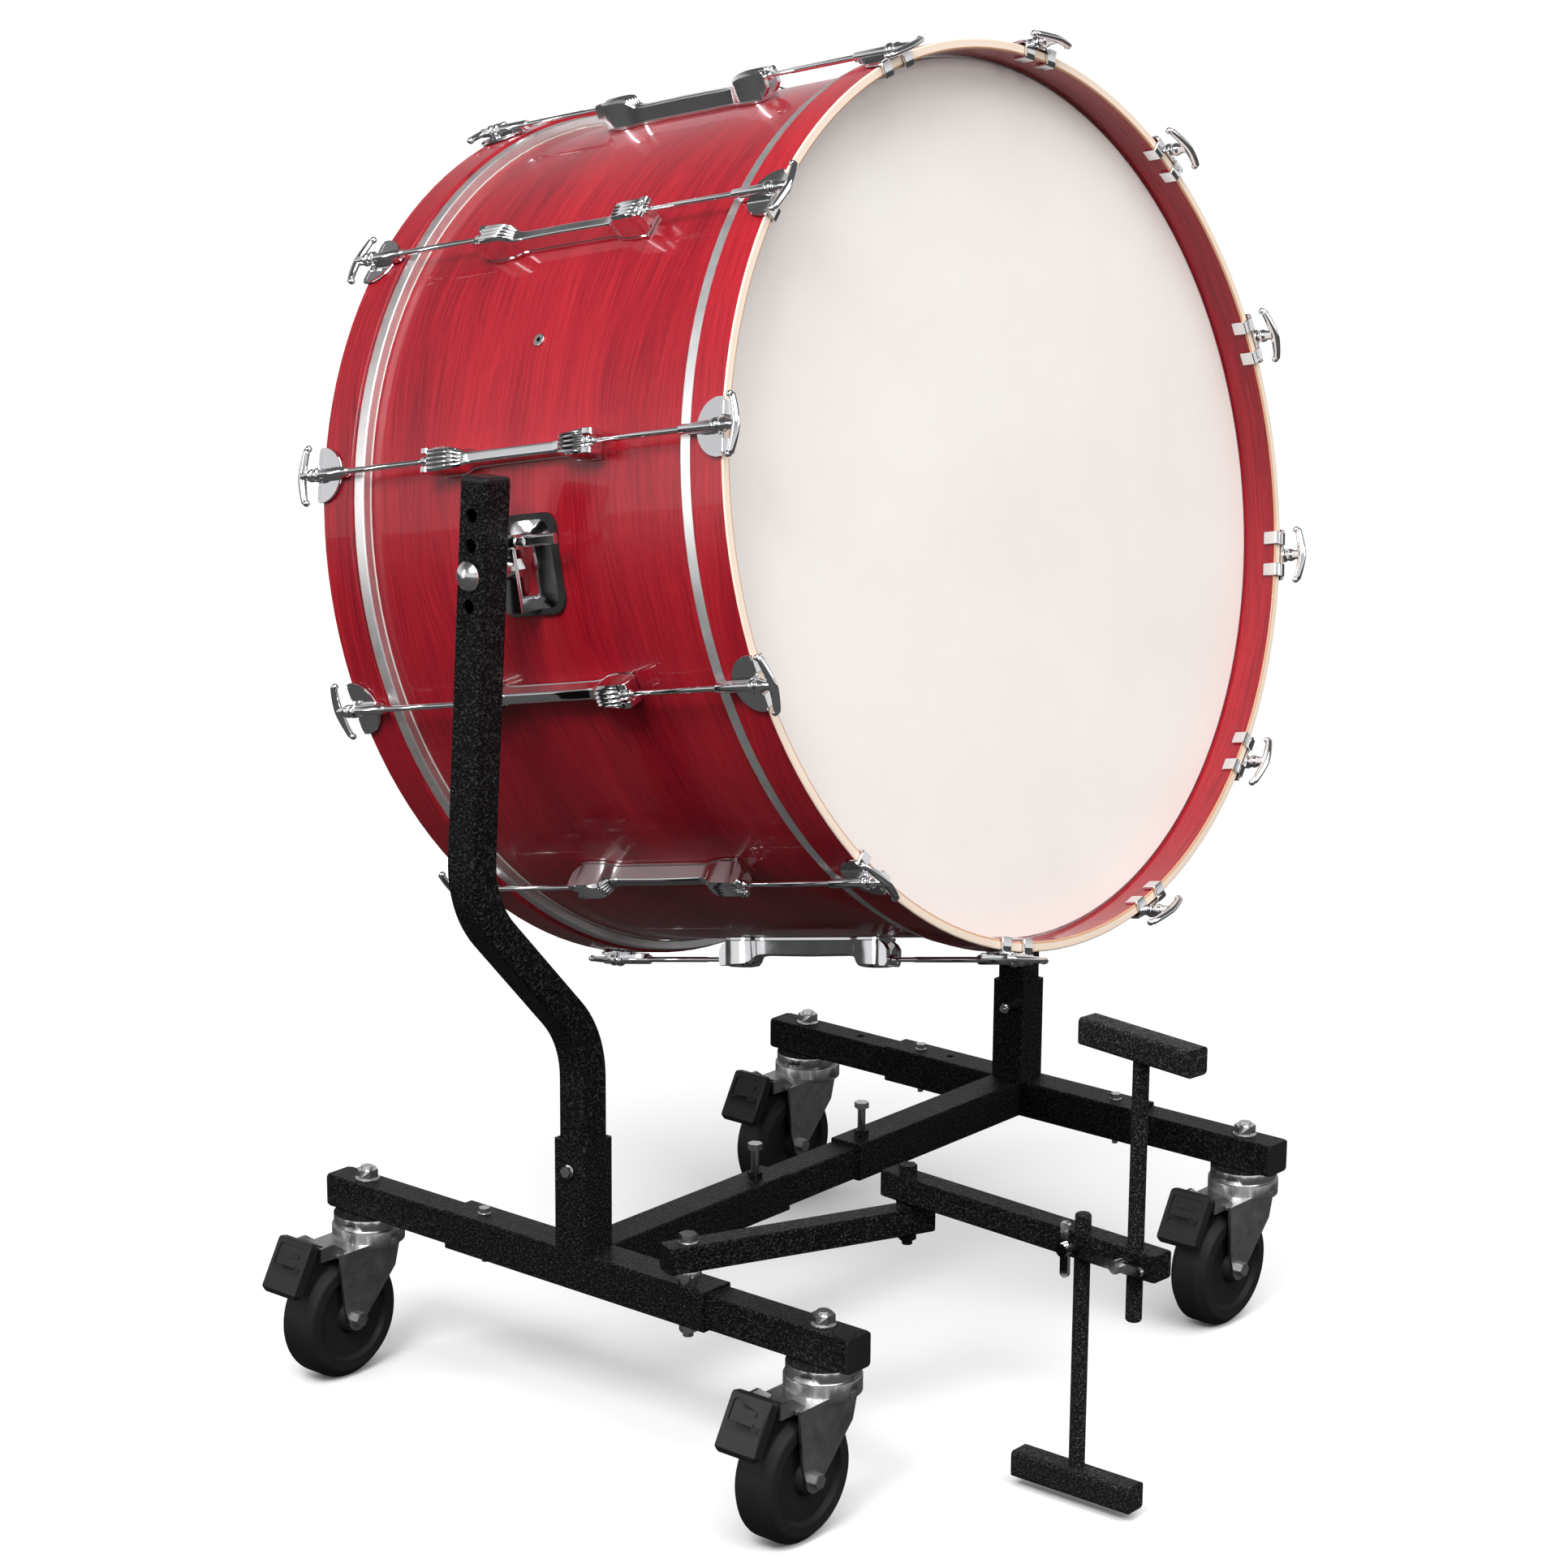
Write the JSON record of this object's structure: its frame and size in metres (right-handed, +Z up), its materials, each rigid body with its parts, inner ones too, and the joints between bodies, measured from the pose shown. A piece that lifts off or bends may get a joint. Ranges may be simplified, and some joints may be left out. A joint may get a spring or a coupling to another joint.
{
  "type": "concert bass drum on tilting stand",
  "caption": "Two-headed wooden bass drum with claw-hook tensioning, hung on a tilting, wheeled steel stand with swinging foot rests.",
  "frame": {"origin": "on the floor under the middle of the whole outline", "axes": "+X across the stand along the tilt axis, to the right as the player sees the playing head; +Y from the player towards the far head; +Z up"},
  "size_m": [0.9992, 0.912, 1.308],
  "materials": {
    "red_lacquer": "cherry red gloss lacquer over figured veneer",
    "head_film": "warm off-white coated film",
    "bare_aluminium": "satin",
    "chrome_trim": "bright chrome plate",
    "nut_brass": "turned",
    "stand_black": "black hammered powder coat",
    "rest_black": "rough black dipped coat",
    "black_plastic": "moulded, slightly textured",
    "zinc_steel": "bright zinc plate",
    "wheel_rubber": "matt black tread"
  },
  "bodies": {
    "stand": {"left_base_frame": "stand_black", "right_base_frame": "stand_black", "left_upright": "stand_black", "right_upright": "stand_black", "cross_tube": "stand_black", "caster_legs": "stand_black", "end_caps": "black_plastic", "frame_bolts": "zinc_steel"},
    "drum": {"shell": "red_lacquer", "front_hoop": "red_lacquer", "back_hoop": "red_lacquer", "front_head": "head_film", "back_head": "head_film", "flesh_hoops": "bare_aluminium", "lug_casings": "chrome_trim", "swivel_nuts": "nut_brass", "claw_hooks": "chrome_trim", "pivot_brackets": "chrome_trim", "vent_eyelet": "chrome_trim"},
    "inner_arm": {"rest_arm_inner": "stand_black"},
    "outer_arm": {"rest_arm_outer": "stand_black", "rest_clamp_screws": "chrome_trim"},
    "low_rest": {"low_rest": "rest_black"},
    "high_rest": {"high_rest": "rest_black"},
    "fork_left_front": {"caster_fork_left_front": "zinc_steel"},
    "wheel_left_front": {"caster_wheel_left_front": "wheel_rubber"},
    "pedal_left_front": {"brake_pedal_left_front": "black_plastic"},
    "fork_left_back": {"caster_fork_left_back": "zinc_steel"},
    "wheel_left_back": {"caster_wheel_left_back": "wheel_rubber"},
    "pedal_left_back": {"brake_pedal_left_back": "black_plastic"},
    "fork_right_front": {"caster_fork_right_front": "zinc_steel"},
    "wheel_right_front": {"caster_wheel_right_front": "wheel_rubber"},
    "pedal_right_front": {"brake_pedal_right_front": "black_plastic"},
    "fork_right_back": {"caster_fork_right_back": "zinc_steel"},
    "wheel_right_back": {"caster_wheel_right_back": "wheel_rubber"},
    "pedal_right_back": {"brake_pedal_right_back": "black_plastic"},
    "rod_front_01": {"rod_front_01": "chrome_trim"},
    "rod_back_01": {"rod_back_01": "chrome_trim"},
    "rod_front_02": {"rod_front_02": "chrome_trim"},
    "rod_back_02": {"rod_back_02": "chrome_trim"},
    "rod_front_03": {"rod_front_03": "chrome_trim"},
    "rod_back_03": {"rod_back_03": "chrome_trim"},
    "rod_front_04": {"rod_front_04": "chrome_trim"},
    "rod_back_04": {"rod_back_04": "chrome_trim"},
    "rod_front_05": {"rod_front_05": "chrome_trim"},
    "rod_back_05": {"rod_back_05": "chrome_trim"},
    "rod_front_06": {"rod_front_06": "chrome_trim"},
    "rod_back_06": {"rod_back_06": "chrome_trim"},
    "rod_front_07": {"rod_front_07": "chrome_trim"},
    "rod_back_07": {"rod_back_07": "chrome_trim"},
    "rod_front_08": {"rod_front_08": "chrome_trim"},
    "rod_back_08": {"rod_back_08": "chrome_trim"},
    "rod_front_09": {"rod_front_09": "chrome_trim"},
    "rod_back_09": {"rod_back_09": "chrome_trim"},
    "rod_front_10": {"rod_front_10": "chrome_trim"},
    "rod_back_10": {"rod_back_10": "chrome_trim"},
    "rod_front_11": {"rod_front_11": "chrome_trim"},
    "rod_back_11": {"rod_back_11": "chrome_trim"},
    "rod_front_12": {"rod_front_12": "chrome_trim"},
    "rod_back_12": {"rod_back_12": "chrome_trim"}
  },
  "joints": [
    {"name": "drum_tilt", "type": "hinge", "parent": "stand", "child": "drum", "pos_m": [0, 0.10967, 0.8505], "axis": [1, 0, 0], "range_deg": [-79, 101]},
    {"name": "inner_arm_swing", "type": "hinge", "parent": "stand", "child": "inner_arm", "pos_m": [-0.35, -0.02833, 0.2198], "axis": [0, 0, 1], "range_deg": [-60, 15]},
    {"name": "outer_arm_swing", "type": "hinge", "parent": "inner_arm", "child": "outer_arm", "pos_m": [-0.143, -0.12033, 0.2522], "axis": [0, 0, 1], "range_deg": [-45, 45]},
    {"name": "low_rest_slide", "type": "slide", "parent": "outer_arm", "child": "low_rest", "axis": [0, 0, 1], "range_m": [-0.008, 0.15]},
    {"name": "high_rest_slide", "type": "slide", "parent": "outer_arm", "child": "high_rest", "axis": [0, 0, 1], "range_m": [-0.15, 0.04]},
    {"name": "swivel_left_front", "type": "hinge", "parent": "stand", "child": "fork_left_front", "pos_m": [-0.3415, -0.18133, 0.14], "axis": [0, 0, 1], "continuous": true},
    {"name": "swivel_left_back", "type": "hinge", "parent": "stand", "child": "fork_left_back", "pos_m": [-0.3415, 0.40067, 0.14], "axis": [0, 0, 1], "continuous": true},
    {"name": "swivel_right_front", "type": "hinge", "parent": "stand", "child": "fork_right_front", "pos_m": [0.3415, -0.18133, 0.14], "axis": [0, 0, 1], "continuous": true},
    {"name": "swivel_right_back", "type": "hinge", "parent": "stand", "child": "fork_right_back", "pos_m": [0.3415, 0.40067, 0.14], "axis": [0, 0, 1], "continuous": true},
    {"name": "spin_left_front", "type": "hinge", "parent": "fork_left_front", "child": "wheel_left_front", "pos_m": [-0.3835, -0.18133, 0.0625], "axis": [0, 1, 0], "continuous": true},
    {"name": "spin_left_back", "type": "hinge", "parent": "fork_left_back", "child": "wheel_left_back", "pos_m": [-0.3835, 0.40067, 0.0625], "axis": [0, 1, 0], "continuous": true},
    {"name": "spin_right_front", "type": "hinge", "parent": "fork_right_front", "child": "wheel_right_front", "pos_m": [0.2995, -0.18133, 0.0625], "axis": [0, 1, 0], "continuous": true},
    {"name": "spin_right_back", "type": "hinge", "parent": "fork_right_back", "child": "wheel_right_back", "pos_m": [0.2995, 0.40067, 0.0625], "axis": [0, 1, 0], "continuous": true},
    {"name": "brake_left_front", "type": "hinge", "parent": "fork_left_front", "child": "pedal_left_front", "pos_m": [-0.4185, -0.18133, 0.138], "axis": [0, 1, 0], "range_deg": [-15, 2]},
    {"name": "brake_left_back", "type": "hinge", "parent": "fork_left_back", "child": "pedal_left_back", "pos_m": [-0.4185, 0.40067, 0.138], "axis": [0, 1, 0], "range_deg": [-15, 2]},
    {"name": "brake_right_front", "type": "hinge", "parent": "fork_right_front", "child": "pedal_right_front", "pos_m": [0.2645, -0.18133, 0.138], "axis": [0, 1, 0], "range_deg": [-15, 2]},
    {"name": "brake_right_back", "type": "hinge", "parent": "fork_right_back", "child": "pedal_right_back", "pos_m": [0.2645, 0.40067, 0.138], "axis": [0, 1, 0], "range_deg": [-15, 2]},
    {"name": "turn_front_01", "type": "hinge", "parent": "drum", "child": "rod_front_01", "pos_m": [0.41284, -0.06723, 0.98861], "axis": [0, -0.9816, 0.1908], "continuous": true},
    {"name": "turn_back_01", "type": "hinge", "parent": "drum", "child": "rod_back_01", "pos_m": [0.41284, 0.32542, 0.91229], "axis": [0, 0.9816, -0.1908], "continuous": true},
    {"name": "turn_front_02", "type": "hinge", "parent": "drum", "child": "rod_front_02", "pos_m": [0.30222, -0.03067, 1.17669], "axis": [0, -0.9816, 0.1908], "continuous": true},
    {"name": "turn_back_02", "type": "hinge", "parent": "drum", "child": "rod_back_02", "pos_m": [0.30222, 0.36198, 1.10037], "axis": [0, 0.9816, -0.1908], "continuous": true},
    {"name": "turn_front_03", "type": "hinge", "parent": "drum", "child": "rod_front_03", "pos_m": [0.11062, -0.00956, 1.28527], "axis": [0, -0.9816, 0.1908], "continuous": true},
    {"name": "turn_back_03", "type": "hinge", "parent": "drum", "child": "rod_back_03", "pos_m": [0.11062, 0.38309, 1.20895], "axis": [0, 0.9816, -0.1908], "continuous": true},
    {"name": "turn_front_04", "type": "hinge", "parent": "drum", "child": "rod_front_04", "pos_m": [-0.11062, -0.00956, 1.28527], "axis": [0, -0.9816, 0.1908], "continuous": true},
    {"name": "turn_back_04", "type": "hinge", "parent": "drum", "child": "rod_back_04", "pos_m": [-0.11062, 0.38309, 1.20895], "axis": [0, 0.9816, -0.1908], "continuous": true},
    {"name": "turn_front_05", "type": "hinge", "parent": "drum", "child": "rod_front_05", "pos_m": [-0.30222, -0.03067, 1.17669], "axis": [0, -0.9816, 0.1908], "continuous": true},
    {"name": "turn_back_05", "type": "hinge", "parent": "drum", "child": "rod_back_05", "pos_m": [-0.30222, 0.36198, 1.10037], "axis": [0, 0.9816, -0.1908], "continuous": true},
    {"name": "turn_front_06", "type": "hinge", "parent": "drum", "child": "rod_front_06", "pos_m": [-0.41284, -0.06723, 0.98861], "axis": [0, -0.9816, 0.1908], "continuous": true},
    {"name": "turn_back_06", "type": "hinge", "parent": "drum", "child": "rod_back_06", "pos_m": [-0.41284, 0.32542, 0.91229], "axis": [0, 0.9816, -0.1908], "continuous": true},
    {"name": "turn_front_07", "type": "hinge", "parent": "drum", "child": "rod_front_07", "pos_m": [-0.41284, -0.10944, 0.77144], "axis": [0, -0.9816, 0.1908], "continuous": true},
    {"name": "turn_back_07", "type": "hinge", "parent": "drum", "child": "rod_back_07", "pos_m": [-0.41284, 0.28321, 0.69511], "axis": [0, 0.9816, -0.1908], "continuous": true},
    {"name": "turn_front_08", "type": "hinge", "parent": "drum", "child": "rod_front_08", "pos_m": [-0.30222, -0.146, 0.58336], "axis": [0, -0.9816, 0.1908], "continuous": true},
    {"name": "turn_back_08", "type": "hinge", "parent": "drum", "child": "rod_back_08", "pos_m": [-0.30222, 0.24665, 0.50704], "axis": [0, 0.9816, -0.1908], "continuous": true},
    {"name": "turn_front_09", "type": "hinge", "parent": "drum", "child": "rod_front_09", "pos_m": [-0.11062, -0.16711, 0.47477], "axis": [0, -0.9816, 0.1908], "continuous": true},
    {"name": "turn_back_09", "type": "hinge", "parent": "drum", "child": "rod_back_09", "pos_m": [-0.11062, 0.22554, 0.39845], "axis": [0, 0.9816, -0.1908], "continuous": true},
    {"name": "turn_front_10", "type": "hinge", "parent": "drum", "child": "rod_front_10", "pos_m": [0.11062, -0.16711, 0.47477], "axis": [0, -0.9816, 0.1908], "continuous": true},
    {"name": "turn_back_10", "type": "hinge", "parent": "drum", "child": "rod_back_10", "pos_m": [0.11062, 0.22554, 0.39845], "axis": [0, 0.9816, -0.1908], "continuous": true},
    {"name": "turn_front_11", "type": "hinge", "parent": "drum", "child": "rod_front_11", "pos_m": [0.30222, -0.146, 0.58336], "axis": [0, -0.9816, 0.1908], "continuous": true},
    {"name": "turn_back_11", "type": "hinge", "parent": "drum", "child": "rod_back_11", "pos_m": [0.30222, 0.24665, 0.50704], "axis": [0, 0.9816, -0.1908], "continuous": true},
    {"name": "turn_front_12", "type": "hinge", "parent": "drum", "child": "rod_front_12", "pos_m": [0.41284, -0.10944, 0.77144], "axis": [0, -0.9816, 0.1908], "continuous": true},
    {"name": "turn_back_12", "type": "hinge", "parent": "drum", "child": "rod_back_12", "pos_m": [0.41284, 0.28321, 0.69511], "axis": [0, 0.9816, -0.1908], "continuous": true}
  ]
}
